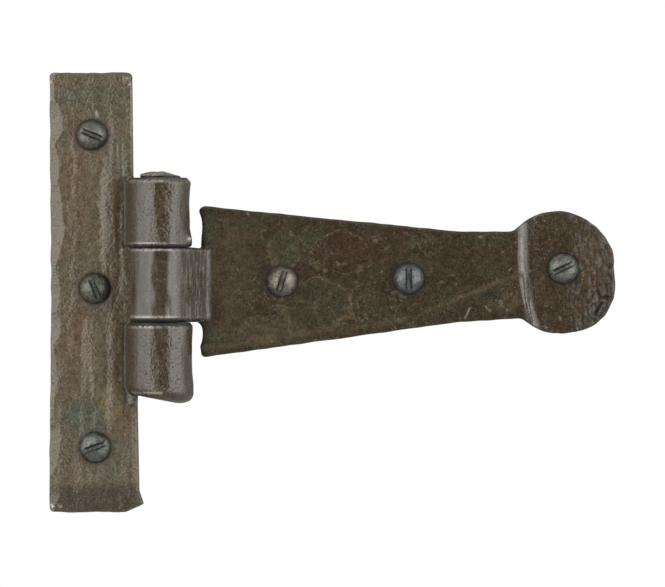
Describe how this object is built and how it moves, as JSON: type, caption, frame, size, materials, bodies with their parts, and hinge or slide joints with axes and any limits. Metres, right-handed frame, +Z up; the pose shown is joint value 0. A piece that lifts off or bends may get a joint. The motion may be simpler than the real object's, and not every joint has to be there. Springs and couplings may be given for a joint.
{
  "type": "tee hinge",
  "caption": "Hand-forged tee hinge: upright frame plate, tapering door strap with a flattened round tip, peened pin and slotted round-head wood screws.",
  "frame": {"origin": "on the plane of the leaves' backs, on the axis of the plate's middle screw", "axes": "+X along the strap, +Z up along the pin, +Y into the door and frame, so the front faces -Y"},
  "size_m": [0.1903, 0.0484, 0.1482],
  "materials": {
    "plate_iron": "hand-forged mild steel, waxed grey-brown with green and rust-brown patches",
    "strap_iron": "hand-forged mild steel, waxed dark brown with olive and red-brown mottling",
    "pin_iron": "mild steel rod, waxed, with a peened head",
    "screw_steel": "dark pewter-coloured steel with a low sheen"
  },
  "bodies": {
    "frame_leaf": {"plate": "plate_iron", "pin": "pin_iron", "plate_screw_top": "screw_steel", "plate_screw_middle": "screw_steel", "plate_screw_bottom": "screw_steel"},
    "door_leaf": {"strap": "strap_iron", "strap_screw_inner": "screw_steel", "strap_screw_middle": "screw_steel", "strap_screw_penny": "screw_steel"}
  },
  "joints": [
    {"name": "strap_swing", "type": "hinge", "parent": "frame_leaf", "child": "door_leaf", "pos_m": [0.0221, -0.01018, 0], "axis": [0, 0, -1], "range_deg": [0, 180]}
  ]
}
